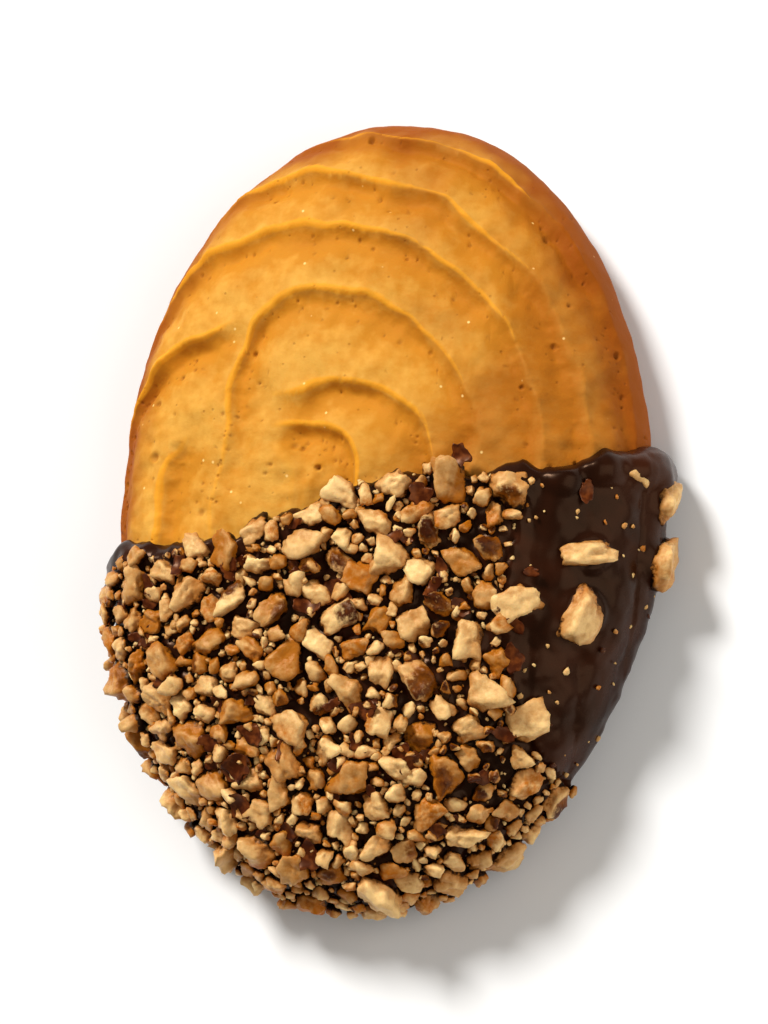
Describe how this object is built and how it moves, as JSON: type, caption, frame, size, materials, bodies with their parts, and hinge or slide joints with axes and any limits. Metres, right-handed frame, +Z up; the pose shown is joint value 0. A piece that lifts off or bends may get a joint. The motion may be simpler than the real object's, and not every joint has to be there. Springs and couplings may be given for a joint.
{
  "type": "chocolate hazelnut piped cookie",
  "caption": "Oval piped butter biscuit with a swirled ridge pattern, its lower half dipped in dark chocolate and covered with chopped hazelnuts.",
  "frame": {"origin": "on the surface that the biscuit lies on, under the middle of its box", "axes": "+Z up, out of the piped side; +Y along the biscuit's long axis, towards the plain end; -Y towards the dipped end"},
  "size_m": [0.067, 0.0916, 0.0202],
  "materials": {
    "biscuit": "golden baked biscuit, matt and finely grained",
    "chocolate_nut_coat": "dark chocolate with a soft gloss, set with roasted chopped hazelnuts"
  },
  "bodies": {
    "root": {"biscuit": "biscuit", "chocolate_nut_coat": "chocolate_nut_coat"}
  },
  "joints": []
}
